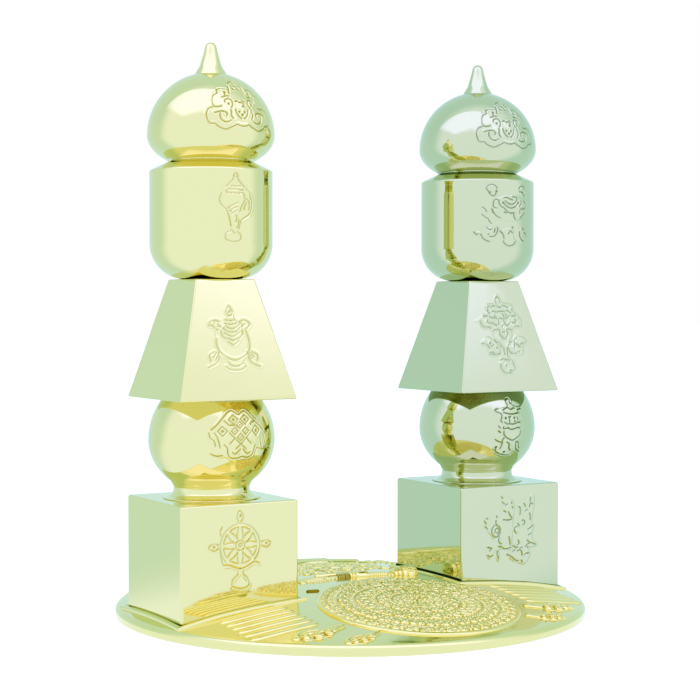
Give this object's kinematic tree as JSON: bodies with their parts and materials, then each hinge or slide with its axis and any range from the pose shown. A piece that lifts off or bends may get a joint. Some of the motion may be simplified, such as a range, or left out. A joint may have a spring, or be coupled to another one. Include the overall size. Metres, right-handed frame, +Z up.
{
  "type": "twin stupa ornament",
  "caption": "Gold and nickel plated five-element stupas side by side on one round domed base with a raised medallion, a table ornament.",
  "frame": {"origin": "centre of the base's flat underside, on the surface that it stands on", "axes": "+Z up; +X from the gold stupa to the nickel one; the medallion lies towards -Y, the side that faces the viewer"},
  "size_m": [0.1342, 0.1342, 0.159],
  "materials": {
    "gold_plate": "polished gold plate",
    "nickel_plate": "polished nickel plate",
    "gold_relief": "cast gold-plated relief"
  },
  "bodies": {
    "root": {"back_cloud_inner_gold_side": "gold_relief", "back_cloud_inner_nickel_side": "gold_relief", "back_cloud_outer_gold_side": "gold_relief", "back_cloud_outer_nickel_side": "gold_relief", "back_ribs_gold_side": "gold_relief", "back_ribs_nickel_side": "gold_relief", "base": "gold_plate", "front_cloud_inner_gold_side": "gold_relief", "front_cloud_inner_nickel_side": "gold_relief", "front_cloud_outer_gold_side": "gold_relief", "front_cloud_outer_nickel_side": "gold_relief", "front_ribs_gold_side": "gold_relief", "front_ribs_nickel_side": "gold_relief", "gold_ball": "gold_plate", "gold_ball_foot": "gold_plate", "gold_cube": "gold_plate", "gold_dome": "gold_plate", "gold_drum": "gold_plate", "gold_drum_collar": "gold_plate", "gold_finial": "gold_plate", "gold_frustum": "gold_plate", "medallion_boss": "gold_relief", "medallion_rim": "gold_relief", "medallion_ring_inner": "gold_relief", "medallion_ring_middle": "gold_relief", "medallion_ring_outer": "gold_relief", "nickel_ball": "nickel_plate", "nickel_ball_foot": "nickel_plate", "nickel_cube": "nickel_plate", "nickel_dome": "nickel_plate", "nickel_drum": "nickel_plate", "nickel_drum_collar": "nickel_plate", "nickel_finial": "nickel_plate", "nickel_frustum": "nickel_plate", "sceptre_grip": "gold_relief", "sceptre_head": "gold_relief", "sceptre_neck": "gold_relief", "sceptre_prongs": "gold_relief"}
  },
  "joints": []
}
